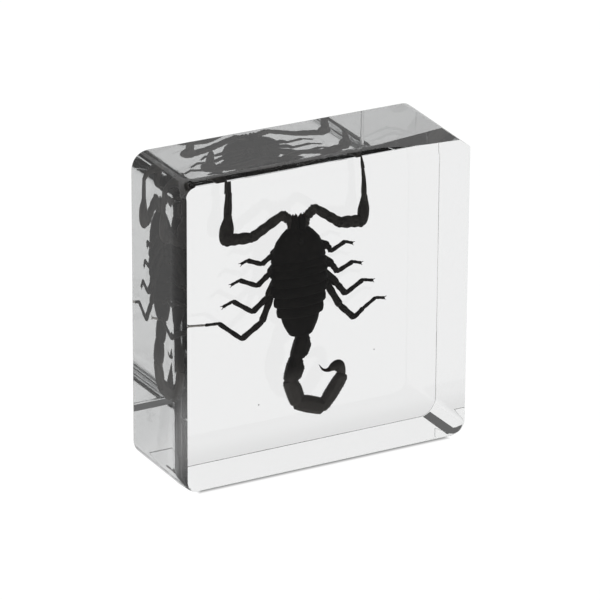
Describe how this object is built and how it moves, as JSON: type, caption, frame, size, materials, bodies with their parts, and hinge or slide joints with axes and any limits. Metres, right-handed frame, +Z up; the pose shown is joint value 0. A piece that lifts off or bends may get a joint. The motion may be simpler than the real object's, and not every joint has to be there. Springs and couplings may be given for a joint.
{
  "type": "scorpion in resin block",
  "caption": "Dried scorpion sealed upright in a polished clear resin block with rounded edges, standing on its narrow bottom face.",
  "frame": {"origin": "middle of the block's bottom face, on the surface it stands on", "axes": "+X to the right across the broad front face, +Y from the front face to the back face through the block's thickness, +Z up"},
  "size_m": [0.075, 0.0254, 0.0758],
  "materials": {
    "clear_resin": "polished clear cast resin",
    "dark_shell": "near-black dried shell wetted by resin"
  },
  "bodies": {
    "root": {"resin_front": "clear_resin", "resin_back": "clear_resin", "scorpion": "dark_shell"}
  },
  "joints": []
}
